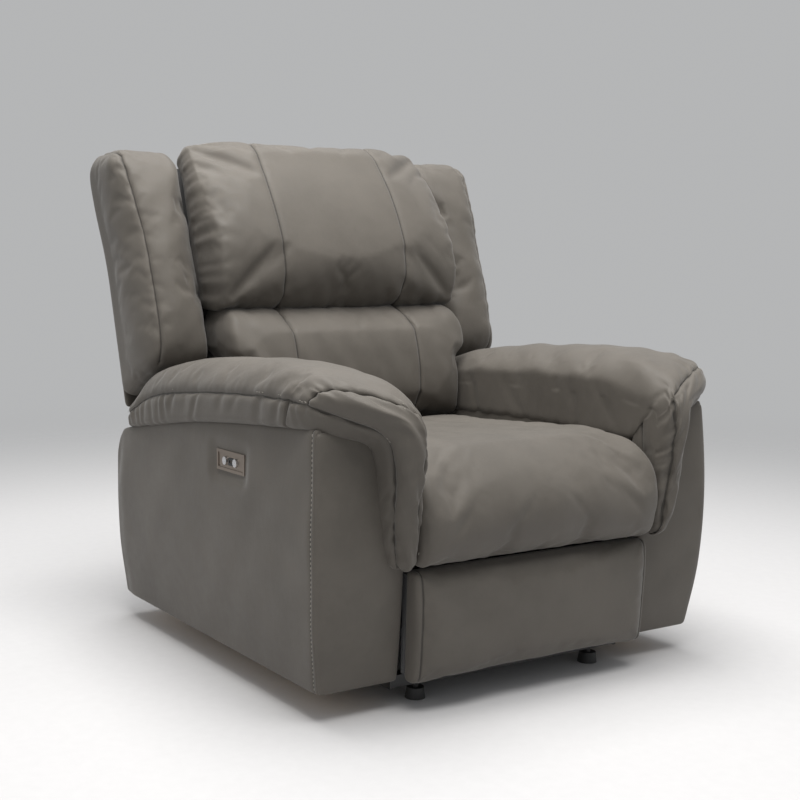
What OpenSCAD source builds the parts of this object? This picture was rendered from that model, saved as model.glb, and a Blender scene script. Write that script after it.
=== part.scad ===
/* [Overall] */
// overall width across the two arm pads
chair_w = 980; // [760:1:1200]
// overall depth, arm pad front to the rear of the back
chair_d = 1060; // [880:1:1280]
// overall height to the top of the headrest pillow
chair_h = 1095; // [910:1:1320]

/* [Arms] */
// width of one arm pad
arm_w = 196; // [150:1:240]
// height of the arm pad crown above the floor
arm_h = 642; // [560:1:760]
// thickness of the arm and back boards
board_t = 18; // [12:1:24]

/* [Seat and back] */
// height of the front crown of the seat cushion
seat_h = 476; // [420:1:520]
// thickness of the rear cover of the back
cover_t = 12; // [8:1:16]

/* [Footrest] */
// height of the footrest panel when it is closed
foot_h = 208; // [170:1:230]
// thickness of the footrest padding
foot_t = 43; // [25:1:55]

/* [Mechanism] */
// thickness of the steel links
link_t = 4; // [3:0.5:5]
// width of the steel links
link_w = 20; // [18:1:24]
// radius of the pivot pins
pin_r = 6; // [5:0.5:7]
// radial running clearance of a pivot
fit = 0.05; // [0.02:0.01:0.1]
// diameter of a floor foot
foot_d = 40; // [30:1:55]

/* [Controls] */
// diameter of a control button
button_d = 16; // [12:0.5:20]

/* [Hidden] */
df = (chair_d - 1060) / 2;
da = arm_h - 642;
hw = chair_w / 2;
hs = hw - arm_w;
eps = 0.01;
xa = hw - 15;
layer = 8;
lean = 0.2718;
lip = 67 + foot_h;
button_y = [-162.5, -120.5];
$fn = 48;
a0 = [340.8, 231.6];
a_len = 172.09;
a_closed = -101.09;
a1 = a0 + a_len * [cos(a_closed), sin(a_closed)];
c_vec = [127.28, 127.28];
b_vec = 60 * [cos(22), sin(22)];
p_vec = 40 * [cos(120), sin(120)];
b0 = a0 + b_vec;
b1 = a1 + b_vec;
r1 = a1 + c_vec;
p1 = a1 + p_vec;
q1 = r1 + p_vec;
crank_r = 60;
crank_a = -139.4;
crank_p = a0 + crank_r * [cos(crank_a), sin(crank_a)];
hinge_y = 260;
hinge_z = 300;

function fy(u) = -(u + df);
function ry(y) = y + df;
function fp(p) = [fy(p[0]), p[1]];
function zb(z) = 505 + da + (z - 505) * (chair_h - 505 - da) / 590;
function yb(z) = 530 + df - lean * (1007 - z);
function zc(z) = lip + (z - 275) * (seat_h - lip) / 201;
function zm(k) = (1 - k) * zc(458) + k * (624 + da);
function zw(z) = zm(1) + (z - 624) * (zb(720) - zm(1)) / 96;
function zp(z) = z + da;
function xin(k) = hs - 18 - layer * k;

module steel() { color([0.16, 0.16, 0.17]) children(); }
module zinc() { color([0.62, 0.63, 0.64]) children(); }
module hide() { color([0.46, 0.44, 0.41]) children(); }
module timber() { color([0.76, 0.62, 0.44]) children(); }
module dark() { color([0.08, 0.08, 0.08]) children(); }
module cloth() { color([0.2, 0.2, 0.21]) children(); }
module silver() { color([0.72, 0.72, 0.73]) children(); }
module foam() { color([0.86, 0.83, 0.74]) children(); }

module prof(x0, x1, pts) {
    translate([x0, 0, 0])
        rotate([90, 0, 90])
            linear_extrude(x1 - x0)
                polygon(pts);
}
module box(x, y, z) {
    translate([x[0], y[0], z[0]])
        cube([x[1] - x[0], y[1] - y[0], z[1] - z[0]]);
}
module rod(p, x0, x1, r) {
    translate([x0, p[0], p[1]])
        rotate([0, 90, 0])
            cylinder(h = x1 - x0, r = r);
}
module pair(s) {
    if (s > 0) children();
    if (s < 0) mirror([1, 0, 0]) children();
}
module bar2d(p, q, w) {
    d = q - p;
    neck = w * 0.8;
    translate(p) circle(r = w / 2);
    translate(q) circle(r = w / 2);
    translate(p)
        rotate(atan2(d[1], d[0]))
            translate([0, -neck / 2])
                square([norm(d), neck]);
}
module slab(x0, x1) {
    translate([x0, 0, 0])
        rotate([90, 0, 90])
            linear_extrude(x1 - x0)
                children();
}

// base

module base_rail(s) {
    steel() pair(s) {
        box([hs - 11, hs - 3], [fy(424), ry(312)], [30, 58]);
        box([hs - 11, hs - 3], [fy(-20), ry(60)], [57, 240]);
        box([hs - 11, hs - 3], [ry(196), ry(236)], [57, 240]);
        box([hs - 11, hs - 3], [fy(96), ry(262)], [238, 255.7]);
        box([hs - 4, hs + 60], [fy(360), fy(310)], [52, 58]);
        box([hs - 4, hs + 60], [ry(200), ry(250)], [52, 58]);
    }
}
module cross_tube(y) {
    steel() difference() {
        box([-hs + 11, hs - 11], [y - 12, y + 12], [32, 56]);
        box([-hs + 10, hs - 10], [y - 10, y + 10], [34, 54]);
    }
}
module floor_foot(x, y) {
    dark() translate([x, y, 0]) {
        cylinder(h = 22, r1 = foot_d / 2, r2 = foot_d / 2 - 3);
        cylinder(h = 32, r = 6);
    }
}

// arms

function arm_top(gap) = [
    [ry(420), zp(360) - gap], [ry(418), zp(392) - gap], [ry(402), zp(424) - gap],
    [ry(372), zp(446) - gap], [ry(337), zp(454) - gap], [ry(187), zp(477) - gap],
    [-5, zp(505) - gap], [fy(250), zp(524) - gap]];

module arm_frame(s) {
    timber() pair(s) {
        box([hs + 14, xa - 22], [fy(424), fy(424) + board_t], [62, zp(508)]);
        box([hs + 14, xa - 22], [ry(404) - board_t, ry(404)], [62, zp(400)]);
        box([hs + 14, xa - 22], [fy(423) + board_t, ry(403) - board_t], [59, 59 + board_t]);
        prof(hs + 14, xa - 22, [[fy(423) + board_t, zp(508)], [fy(423) + board_t, zp(508) - board_t],
            [ry(120), zp(478) - board_t], [ry(120), zp(478)]]);
        prof(hs + 14, xa - 22, [[ry(121), zp(478)], [ry(121), zp(478) - board_t],
            [ry(340), zp(444) - board_t], [ry(340), zp(444)]]);
        box([hs + 14, hs + 14 + board_t], [-60, -60 + 50], [60 + board_t, 470 + da]);
    }
}
module side_panel(s) {
    hide() pair(s) difference() {
        prof(xa - 22, xa, concat([[fy(424), 55], [ry(420), 55]], arm_top(0), [[fy(424), zp(533)]]));
        if (s < 0) box([xa - 30, xa + 5], [-191, -92], [422.5 + da, 461.5 + da]);
    }
}
module front_panel(s) {
    hide() pair(s) box([hs + 1, xa], [fy(450), fy(425)], [55, zp(533)]);
}
module inner_panel(s) {
    hide() pair(s)
        prof(hs + 2, hs + 14, concat([[fy(424), 66], [ry(404), 66], [ry(404), zp(418)]],
            [[ry(372), zp(444)], [ry(337), zp(452)], [ry(187), zp(475)], [-5, zp(503)],
            [fy(250), zp(522)], [fy(424), zp(531)]]));
}
module rear_panel(s) {
    hide() pair(s) box([hs + 2, xa - 22.5], [ry(405), ry(419)], [60, zp(380)]);
}
module arm_pad(s) {
    hide() pair(s) {
        prof(hs - 2, hw, [[fy(450), zp(535)], [fy(250), zp(526)], [-5, zp(507)], [ry(187), zp(479)],
            [ry(300), zp(462)], [ry(344), zp(457)], [ry(350), zp(470)], [ry(350), zp(508)],
            [ry(290), zp(549)], [ry(222), zp(590)], [ry(206), zp(604)], [ry(70), zp(624)],
            [-120, zp(637)], [fy(290), zp(642)], [fy(400), zp(641)], [fy(450), zp(635)],
            [fy(490), zp(621)], [fy(516), zp(604)], [fy(530), zp(581)], [fy(527), zp(556)],
            [fy(509), zp(538)]]);
        translate([0, fy(451), 0]) rotate([90, 0, 0])
            linear_extrude(57)
                polygon([[hs - 2, 272], [hs + 18, 276], [hs + 30, 312], [hs + 42, 358],
                    [hs + 50, zp(430)], [hs + 56, zp(493)], [hs + 70, zp(520)],
                    [hs + 100, zp(540)], [hs - 2, zp(540)]]);
    }
}
module control_bezel() {
    color([0.42, 0.39, 0.36]) difference() {
        union() {
            box([-xa - 4, -xa], [-198, -85], [421.5 + da, 462.5 + da]);
            box([-xa, -xa + 28], [-189, -94], [424 + da, 460 + da]);
        }
        box([-xa - 5, -xa - 2.4], [-192, -91], [427.5 + da, 456.5 + da]);
        for (y = button_y) rod([y, 442 + da], -xa - 5, -xa + 22, button_d / 2 + 0.4);
        box([-xa - 5, -xa + 14], [-152, -131], [434 + da, 450 + da]);
    }
}
module usb_socket() {
    dark() difference() {
        box([-xa - 3, -xa + 13], [-151.6, -131.4], [434.4 + da, 449.6 + da]);
        box([-xa - 4, -xa + 9], [-148, -135], [439.5 + da, 444.5 + da]);
    }
}
module button(y) {
    silver() {
        rod([y, 442 + da], -xa - 6.5, -xa + 8, button_d / 2);
    }
}
module power_inlet() {
    dark() difference() {
        box([-hs - 110, -hs - 74], [ry(419.5), ry(430)], [96, 126]);
        box([-hs - 104, -hs - 80], [ry(423), ry(431)], [102, 120]);
    }
}

// seat carriage

module mech_plate(s) {
    steel() pair(s) {
        difference() {
            union() {
                prof(xin(0), xin(0) + link_t, [fp([414, 244]), fp([414, 322]), [ry(262), 322],
                    [ry(276), 306], [ry(274), 288], [ry(246), 282], [ry(60), 266], fp([180, 236]),
                    fp([322, 214]), fp([358, 212]), fp([406, 236])]);
            }
            for (y = [ry(0), fy(120)]) rod([y, 296], xin(0) - 1, xin(0) + link_t + 1, 9);
        }
        for (y = [ry(0), ry(200)]) box([xin(0) + link_t - eps, hs - 2], [y - 22, y + 22], [256, 270]);
        rod(fp(a0), xin(1) - 4, xin(0) + eps, pin_r);
        rod(fp(b0), xin(3) - 2, xin(0) + eps, pin_r);
        rod(fp(b0), xin(3) - 3.4, xin(3) - 0.4, pin_r + 3);
        rod([ry(hinge_y), hinge_z], xin(1) - 3.5, xin(0) + eps, 8);
    }
}
module carriage_cross(y, z) {
    steel() rod([y, z], -xin(0), xin(0), 9);
}
module seat_frame() {
    timber() {
        for (s = [-1, 1]) pair(s) box([xin(0) - 40, xin(0)], [fy(440), ry(222)], [290, 322]);
        box([-xin(0) + 41, xin(0) - 41], [fy(440), fy(410)], [290, 322]);
        box([-xin(0) + 41, xin(0) - 41], [ry(192), ry(222)], [290, 322]);
    }
}
module wave(len, w, n, wire) {
    p = (len - wire) / n;
    for (i = [0 : n]) translate([p * i, -w]) square([wire, 2 * w]);
    for (i = [0 : n - 1]) translate([p * i, (i % 2 == 0) ? w - wire : -w]) square([p + wire, wire]);
}
module seat_springs() {
    len = ry(216) - fy(436);
    n = round(len / 26);
    zinc() for (i = [-2 : 2])
        translate([i * (hs - 70) / 2.4, fy(436), 322.2])
            rotate([0, 0, 90])
                linear_extrude(3.6)
                    wave(len, 16, n, 3.6);
}
module seat_deck() {
    cloth() box([-xin(0) + 4, xin(0) - 4], [fy(438), ry(180)], [327, 343.5]);
}
module seat_cushion() {
    hide() prof(-hs + 3, hs - 3, [[fy(440), 324], [fy(441), lip + 5], [fy(450), lip], [fy(490), lip],
        [fy(503), zc(282)], [fy(510), zc(310)], [fy(513), zc(370)], [fy(508), zc(430)],
        [fy(490), zc(462)], [fy(460), zc(474)], [fy(420), seat_h], [fy(300), zc(474)],
        [fy(100), zc(468)], [60, zc(461)], [ry(184), zc(453)], [ry(184), 344],
        [fy(439), 344]]);
}
module drive_motor() {
    dark() {
        box([-26, 26], [fy(-40), fy(-100)], [118, 178]);
        rod([fy(-72), 150], 25, 140, 27);
        rod([fy(-72), 150], 139, 146, 12);
    }
}
module drive_track() {
    steel() {
        box([-8, 8], [fy(420), fy(-39.8)], [137, 153]);
        box([-15, 15], [fy(420), fy(414)], [128, 162]);
        box([8.5, 12.5], [fy(244), fy(216)], [132, 250]);
        box([-12.5, -8.5], [fy(244), fy(216)], [132, 250]);
        box([-12.5, 12.5], [fy(244), fy(216)], [132, 136.8]);
        box([-4, 4], [fy(-50), fy(-70)], [178.2, 249]);
    }
}
module drive_nut() {
    u = crank_p[0];
    color([0.85, 0.85, 0.82]) difference() {
        union() {
            box([-17, 17], [fy(u + 20), fy(u - 20)], [128, 158]);
            for (s = [-1, 1]) pair(s) box([9, 14], [fy(u + 17), fy(u - 17)], [157, 212]);
        }
        box([-8.3, 8.3], [fy(u + 21), fy(u - 21)], [136.7, 153.3]);
        for (e = [0 : 4]) rod([fy(u), 171 + e * 5.5], -18, 18, 8.8);
    }
}

// back

module back_frame() {
    timber() {
        for (s = [-1, 1]) pair(s)
            prof(hs - 28 - 40, hs - 28, [[yb(150) - cover_t - 50, 150], [yb(150) - cover_t, 150],
                [yb(zb(1000)) - cover_t, zb(1000)], [yb(zb(1000)) - cover_t - 50, zb(1000)]]);
        for (z = [[150, 200], [440, 490]])
            prof(-hs + 69, hs - 69, [[yb(z[0]) - cover_t - 48, z[0]], [yb(z[0]) - cover_t, z[0]],
                [yb(z[1]) - cover_t, z[1]], [yb(z[1]) - cover_t - 48, z[1]]]);
        for (z = [[zb(560), zb(610)], [zb(950), zb(1000)]])
            prof(-hs + 69, hs - 69, [[yb(z[0]) - cover_t - 48, z[0]], [yb(z[0]) - cover_t, z[0]],
                [yb(z[1]) - cover_t, z[1]], [yb(z[1]) - cover_t - 48, z[1]]]);
        for (s = [-1, 1]) for (z = [[zb(560), zb(610)], [zb(950), zb(1000)]]) pair(s)
            prof(hs - 27.9, hs + 36, [[yb(z[0]) - cover_t - 48, z[0]], [yb(z[0]) - cover_t, z[0]],
                [yb(z[1]) - cover_t, z[1]], [yb(z[1]) - cover_t - 48, z[1]]]);
    }
}
module back_bracket(s) {
    steel() pair(s) difference() {
        union() {
            rod([ry(hinge_y), hinge_z], hs - 28, hs - 24, 19);
            prof(hs - 28, hs - 24, [[ry(250), 286], [ry(262), 281], [ry(286), 240], [ry(304), 240],
                [ry(358), 440], [ry(340), 446], [ry(290), 330], [ry(256), 318]]);
        }
        rod([ry(hinge_y), hinge_z], hs - 30, hs - 20, 8 + fit);
    }
}
module back_webbing() {
    cloth() for (z = [250, 350, zb(660), zb(760), zb(860)])
        prof(-hs + 30, hs - 30, [[yb(z) - cover_t - 53, z], [yb(z) - cover_t - 50.5, z],
            [yb(z + 46) - cover_t - 50.5, z + 46], [yb(z + 46) - cover_t - 53, z + 46]]);
}
module back_core() {
    foam() prof(-hs + 6, hs - 6, [[yb(445) - cover_t - 122, 445], [yb(445) - cover_t - 54, 445],
        [yb(zb(1030)) - cover_t - 54, zb(1030)], [yb(zb(1030)) - cover_t - 122, zb(1030)]]);
}
module rear_cover() {
    hide() {
        prof(-hs + 16, hs - 16, [[yb(118) - cover_t + 0.2, 118], [yb(118), 118], [yb(496 + da), 496 + da],
            [yb(496 + da) - cover_t + 0.2, 496 + da]]);
        prof(-xa + 4, xa - 4, [[yb(496 + da) - cover_t + 0.2, 496 + da], [yb(496 + da), 496 + da],
            [yb(zb(1007)), zb(1007)], [ry(522), zb(1026)], [ry(496), zb(1040)],
            [ry(488), zb(1030)], [yb(zb(1007)) - cover_t + 0.2, zb(1007)]]);
    }
}
module wing(s) {
    hide() pair(s)
        prof(hs + 37, xa + 2, [[yb(zb(512)) - cover_t, zb(512)], [yb(zb(1007)) - cover_t, zb(1007)],
            [ry(484), zb(1029)], [ry(462), zb(1052)], [ry(436), zb(1062)], [ry(410), zb(1056)],
            [ry(384), zb(1036)], [ry(350), zb(985)], [ry(306), zb(905)], [ry(268), zb(820)],
            [ry(240), zb(735)], [ry(218), zb(660)], [ry(213), zb(630)], [ry(223), zb(604)]]);
}
module headrest_pillow() {
    hide() prof(-hs - 36, hs + 36, [[ry(196), zb(722)], [ry(181), zb(736)], [ry(178), zb(765)],
        [ry(194), zb(820)], [ry(226), zb(880)], [ry(266), zb(950)], [ry(306), zb(1012)],
        [ry(345), zb(1060)], [ry(376), zb(1085)], [ry(405), zb(1095)], [ry(436), zb(1088)],
        [ry(456), zb(1066)], [ry(462), zb(1036)], [yb(zb(1034)) - cover_t - 124, zb(1034)],
        [yb(zb(722)) - cover_t - 124, zb(722)]]);
}
module lumbar_pillow() {
    zl = zm(1);
    hide() {
        prof(-hs + 5, hs - 5, [[ry(200), zc(440)], [ry(186), zm(0)], [ry(130), zm(0.06)],
            [ry(120), zm(0.19)], [ry(118), zm(0.37)], [ry(124), zm(0.67)], [ry(138), zl],
            [yb(zl) - cover_t - 124, zl], [yb(zc(446)) - cover_t - 124, zc(440)]]);
        prof(-hs - 36, hs + 36, [[ry(138), zl], [ry(142), zw(650)], [ry(160), zw(700)],
            [ry(186), zb(720)], [yb(zb(720)) - cover_t - 124, zb(720)], [yb(zl) - cover_t - 124, zl]]);
    }
}

// footrest and linkage

module footrest_board() {
    timber() box([-hs + 8, hs - 8], [fy(462), fy(450)], [62 + 8, 62 + foot_h - 8]);
}
module footrest_pad() {
    hide() prof(-hs + 5, hs - 5, [[fy(462), 62], [fy(488), 60], [fy(500), 66], [fy(462 + foot_t), 84],
        [fy(464 + foot_t), 62 + foot_h / 2], [fy(462 + foot_t), 40 + foot_h], [fy(500), 56 + foot_h],
        [fy(488), 62 + foot_h], [fy(462), 61 + foot_h]]);
}
module footrest_bracket(s) {
    steel() pair(s) {
        difference() {
            slab(xin(1), xin(1) + link_t) {
                difference() {
                    union() {
                        bar2d(fp(r1), fp(q1), link_w + 2);
                        polygon([fp(r1 + [6, -10]), fp([449.8, r1[1] - 22]), fp([449.8, q1[1] + 24]),
                            fp(q1 + [4, 10])]);
                    }
                    translate(fp(r1)) circle(r = pin_r + fit);
                }
            }
        }
        box([xin(1) - 16, xin(1) + link_t], [fy(449.9), fy(446)], [r1[1] - 22, q1[1] + 24]);
        rod(fp(q1), xin(1) + eps, xin(0) + link_t + 0.8, pin_r);
        rod(fp(q1), xin(0) + link_t + 0.4, xin(0) + link_t + 2.2, pin_r + 3);
    }
}
module main_link(s) {
    steel() pair(s) {
        slab(xin(1), xin(1) + link_t) difference() {
            union() {
                bar2d(fp(a0), fp(a1), link_w);
                bar2d(fp(a1), fp(p1), link_w);
            }
            translate(fp(a0)) circle(r = pin_r + fit);
        }
        rod(fp(a1), xin(2) - 0.8, xin(1) + eps, pin_r);
        rod(fp(a1), xin(2) - 2.6, xin(2) - 0.4, pin_r + 3);
        rod(fp(p1), xin(1) + link_t - eps, xin(0) + link_t + 0.8, pin_r);
        rod(fp(p1), xin(0) + link_t + 0.4, xin(0) + link_t + 2.2, pin_r + 3);
    }
}
module torque_tube() {
    steel() {
        difference() {
            rod(fp(a0), -xin(1), xin(1), 10);
            rod(fp(a0), -xin(1) - 1, xin(1) + 1, 7.5);
        }
        difference() {
            slab(-4, 4) bar2d(fp(a0), fp(crank_p), 22);
            rod(fp(a0), -6, 6, 9.9);
        }
        rod(fp(crank_p), -16, 16, 5);
    }
}
module front_link(s) {
    steel() pair(s) {
        slab(xin(3), xin(3) + link_t) difference() {
            bar2d(fp(b0), fp(b1), link_w - 1);
            translate(fp(b0)) circle(r = pin_r + fit);
        }
        rod(fp(b1), xin(3) + link_t - eps, xin(2) + link_t + 0.8, pin_r);
        rod(fp(b1), xin(2) + link_t + 0.4, xin(2) + link_t + 2.2, pin_r + 3);
    }
}
module lift_link(s) {
    steel() pair(s) {
        slab(xin(2), xin(2) + link_t) difference() {
            union() {
                bar2d(fp(a1), fp(r1), link_w + 2);
                bar2d(fp(a1), fp(b1), link_w + 2);
                bar2d(fp(b1), fp(r1), link_w + 2);
            }
            translate(fp(a1)) circle(r = pin_r + fit);
            translate(fp(b1)) circle(r = pin_r + 0.5);
        }
        rod(fp(r1), xin(2) + link_t - eps, xin(1) + link_t + 0.8, pin_r);
        rod(fp(r1), xin(1) + link_t + 0.4, xin(1) + link_t + 2.2, pin_r + 3);
    }
}
module guide_link(s) {
    zinc() pair(s)
        slab(xin(0), xin(0) + link_t) difference() {
            bar2d(fp(p1), fp(q1), link_w - 1);
            translate(fp(p1)) circle(r = pin_r + fit);
            translate(fp(q1)) circle(r = pin_r + 0.5);
        }
}

base_rail(-1);  // base_rail_left
base_rail(1);  // base_rail_right
cross_tube(fy(412));  // front_cross_tube
cross_tube(ry(300));  // rear_cross_tube
floor_foot(-hs + 71, fy(412));  // foot_front_left
floor_foot(hs - 71, fy(412));  // foot_front_right
floor_foot(-hs + 71, ry(300));  // foot_rear_left
floor_foot(hs - 71, ry(300));  // foot_rear_right
arm_frame(-1);  // arm_frame_left
arm_frame(1);  // arm_frame_right
side_panel(-1);  // side_panel_left
side_panel(1);  // side_panel_right
front_panel(-1);  // front_panel_left
front_panel(1);  // front_panel_right
inner_panel(-1);  // inner_panel_left
inner_panel(1);  // inner_panel_right
rear_panel(-1);  // rear_panel_left
rear_panel(1);  // rear_panel_right
arm_pad(-1);  // arm_pad_left
arm_pad(1);  // arm_pad_right
control_bezel();
usb_socket();
power_inlet();
mech_plate(-1);  // mech_plate_left
mech_plate(1);  // mech_plate_right
carriage_cross(fy(230), 259);  // carriage_cross_front
carriage_cross(fy(-60), 275);  // carriage_cross_rear
seat_frame();
seat_springs();
seat_deck();
seat_cushion();
drive_motor();
drive_track();
back_frame();
back_bracket(-1);  // back_bracket_left
back_bracket(1);  // back_bracket_right
back_webbing();
back_core();
rear_cover();
wing(-1);  // wing_left
wing(1);  // wing_right
headrest_pillow();
lumbar_pillow();
footrest_board();
footrest_pad();
footrest_bracket(-1);  // footrest_bracket_left
footrest_bracket(1);  // footrest_bracket_right
main_link(-1);  // main_link_left
main_link(1);  // main_link_right
torque_tube();
front_link(-1);  // front_link_left
front_link(1);  // front_link_right
lift_link(-1);  // lift_link_left
lift_link(1);  // lift_link_right
guide_link(-1);  // guide_link_left
guide_link(1);  // guide_link_right
drive_nut();
button(button_y[0]);  // button_front
button(button_y[1]);  // button_rear
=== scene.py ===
import math
import bpy
import numpy as np
from mathutils import Matrix, Vector


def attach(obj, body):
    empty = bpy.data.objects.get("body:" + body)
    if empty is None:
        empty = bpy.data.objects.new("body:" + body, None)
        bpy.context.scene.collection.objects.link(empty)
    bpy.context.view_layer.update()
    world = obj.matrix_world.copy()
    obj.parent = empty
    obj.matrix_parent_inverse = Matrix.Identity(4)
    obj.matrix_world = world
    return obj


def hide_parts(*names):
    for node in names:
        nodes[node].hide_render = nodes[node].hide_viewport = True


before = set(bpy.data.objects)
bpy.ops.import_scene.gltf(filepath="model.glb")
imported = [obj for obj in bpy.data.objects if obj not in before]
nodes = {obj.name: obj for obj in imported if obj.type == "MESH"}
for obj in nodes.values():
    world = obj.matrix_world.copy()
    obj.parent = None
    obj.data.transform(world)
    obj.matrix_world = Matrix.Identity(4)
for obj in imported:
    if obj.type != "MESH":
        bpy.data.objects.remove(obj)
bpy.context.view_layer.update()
scene = bpy.context.scene
print("frame loaded", len(nodes), "nodes")


# numbers along curves and lines

def bump(x, middle, width):
    return np.exp(-((x - middle) / width) ** 2)


def ramp(x, low, high):
    t = np.clip((x - low) / (high - low), 0, 1)
    return t * t * (3 - 2 * t)


def alongCurve(points, t):
    # smooth curve through the points: t runs 0..1 by chord length, a cubic between neighbours
    p = np.asarray(points, float)
    s = np.r_[0, np.cumsum(np.linalg.norm(np.diff(p[:, :2], axis=0), axis=1))]
    s /= s[-1]
    slope = np.gradient(p, s, axis=0)
    t = np.clip(t, 0, 1)
    i = np.clip(np.searchsorted(s, t, side="right") - 1, 0, len(s) - 2)
    h = (s[i + 1] - s[i])[..., None]
    f = (t - s[i])[..., None] / h
    return ((1 + 2 * f) * (1 - f) ** 2 * p[i] + f * (1 - f) ** 2 * h * slope[i]
            + f * f * (3 - 2 * f) * p[i + 1] + f * f * (f - 1) * h * slope[i + 1])


def ruler(low, high, cell, seams=()):
    # lattice lines a cell apart, with closer ones on both sides of every seam
    even = np.linspace(low, high, max(3, int(round((high - low) / cell)) + 1))
    extra = np.array([s + d for s in seams for d in (-0.006, -0.0025, 0, 0.0025, 0.006)])
    if len(extra):
        extra = extra[(extra > low + 0.001) & (extra < high - 0.001)]
        gap = np.abs(even[:, None] - extra[None, :]).min(axis=1)
        even = np.r_[even[(gap > 0.0035) | (even == low) | (even == high)], extra]
    return np.sort(even)


def ripple(x, seed, pitch):
    # a wave whose spacing wanders: five sines with seeded lengths and phases, between about -1 and 1
    rng = np.random.default_rng(seed)
    lengths = pitch * rng.uniform(0.6, 1.9, 5)
    phases = rng.uniform(0, 2 * np.pi, 5)
    return sum(np.sin(2 * np.pi * x / a + b) for a, b in zip(lengths, phases)) / 3.2


# meshes

def outward(verts, quads):
    # quads turned the way that makes the enclosed volume positive
    a, b, c, d = (verts[quads[:, n]] for n in range(4))
    volume = (np.einsum("ij,ij->i", a, np.cross(b, c)) + np.einsum("ij,ij->i", a, np.cross(c, d))).sum()
    return quads[:, ::-1] if volume < 0 else quads


def addMesh(name, verts, quads):
    mesh = bpy.data.meshes.new(name)
    mesh.from_pydata(verts.tolist(), [], quads.tolist())
    mesh.polygons.foreach_set("use_smooth", np.ones(len(quads), bool))
    obj = bpy.data.objects.new(name, mesh)
    scene.collection.objects.link(obj)
    return obj


def makePiece(name, verts, quads, body, replaced, distance):
    # a padded piece in hide; distance says how far each point is from the nearest seam
    obj = addMesh(name, verts, outward(verts, quads))
    attribute = obj.data.attributes.new("seam", "FLOAT", "POINT")
    attribute.data.foreach_set("value", distance.astype(np.float32))
    smooth = obj.modifiers.new("smooth", "SUBSURF")
    smooth.levels = smooth.render_levels = 1
    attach(obj, body)
    if replaced:
        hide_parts(*replaced)
    obj.data.materials.append(hideFinish())
    return obj


def meshNormals(verts, quads):
    n = np.cross(verts[quads[:, 2]] - verts[quads[:, 0]], verts[quads[:, 3]] - verts[quads[:, 1]])
    out = np.zeros_like(verts)
    for corner in range(4):
        np.add.at(out, quads[:, corner], n)
    return out / np.maximum(np.linalg.norm(out, axis=1, keepdims=True), 1e-12)


def latticeShell(a, b, c):
    # the outside of a lattice with lines at a, b and c as one closed skin of quads: its points and its quads
    na, nb, nc = len(a) - 1, len(b) - 1, len(c) - 1
    i, j, k = np.meshgrid(np.arange(na + 1), np.arange(nb + 1), np.arange(nc + 1), indexing="ij")
    outside = (i == 0) | (i == na) | (j == 0) | (j == nb) | (k == 0) | (k == nc)
    number = np.full(i.shape, -1)
    number[outside] = np.arange(outside.sum())
    points = np.stack([a[i[outside]], b[j[outside]], c[k[outside]]], 1)

    def side(grid, flip):
        q = np.stack([grid[:-1, :-1], grid[1:, :-1], grid[1:, 1:], grid[:-1, 1:]], -1).reshape(-1, 4)
        return q[:, ::-1] if flip else q

    quads = np.vstack([side(number[0], True), side(number[-1], False), side(number[:, 0], False),
                       side(number[:, -1], True), side(number[:, :, 0], True), side(number[:, :, -1], False)])
    return points, quads


def roundOff(p, size, radius):
    # box points pulled onto a box with rounded edges: each keeps its direction from the inner box, at the radius
    half = np.asarray(size) / 2
    radius = np.minimum(radius, half * 0.98)  # one number, one for each axis, or a row for each point
    inner = np.clip(p, -half + radius, half - radius)
    d = (p - inner) / radius
    n = np.linalg.norm(d, axis=1, keepdims=True)
    return inner + d / np.maximum(n, 1e-9) * radius


clothLook = {"frames": 20, "quality": 6, "mass": 0.3, "stiffness": 15, "bending": 0.5, "airDamping": 3}


def relax(name, verts, quads, pinned, look):
    # cloth held at the pinned points, blown up by the pressure and cut larger by the slack; no point goes past
    # the limit
    obj = addMesh(name + "Cloth", verts, quads)
    group = obj.vertex_groups.new(name="pin")
    group.add(np.nonzero(pinned)[0].tolist(), 1.0, "REPLACE")
    cloth = obj.modifiers.new("cloth", "CLOTH")
    s = cloth.settings
    s.quality = clothLook["quality"]
    s.mass = clothLook["mass"]
    s.tension_stiffness = s.compression_stiffness = clothLook["stiffness"]
    s.shear_stiffness = clothLook["stiffness"] / 2
    s.bending_stiffness = clothLook["bending"]
    s.air_damping = clothLook["airDamping"]
    s.vertex_group_mass = "pin"
    s.use_pressure = True
    s.uniform_pressure_force = look["pressure"]
    s.shrink_min = -look["slack"]
    s.effector_weights.gravity = 0
    cloth.collision_settings.use_collision = False
    cloth.collision_settings.use_self_collision = False
    cloth.point_cache.frame_start = 1
    cloth.point_cache.frame_end = clothLook["frames"]
    for f in range(1, clothLook["frames"] + 1):
        scene.frame_set(f)
    done = obj.evaluated_get(bpy.context.evaluated_depsgraph_get()).to_mesh()
    out = np.empty(len(done.vertices) * 3)
    done.vertices.foreach_get("co", out)
    out = out.reshape(-1, 3)
    scene.frame_set(1)
    bpy.data.objects.remove(obj)
    move = out - verts
    far = np.linalg.norm(move, axis=1, keepdims=True)
    print("  ", name, "cloth moved up to", round(float(far.max()) * 1000, 1), "mm")
    return verts + move * np.minimum(1, look["limit"] / np.maximum(far, 1e-9))


threadLook = {"pitch": 0.0072, "length": 0.0052, "radius": 0.00052, "lift": 0.0002}
threadRows = {}


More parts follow.
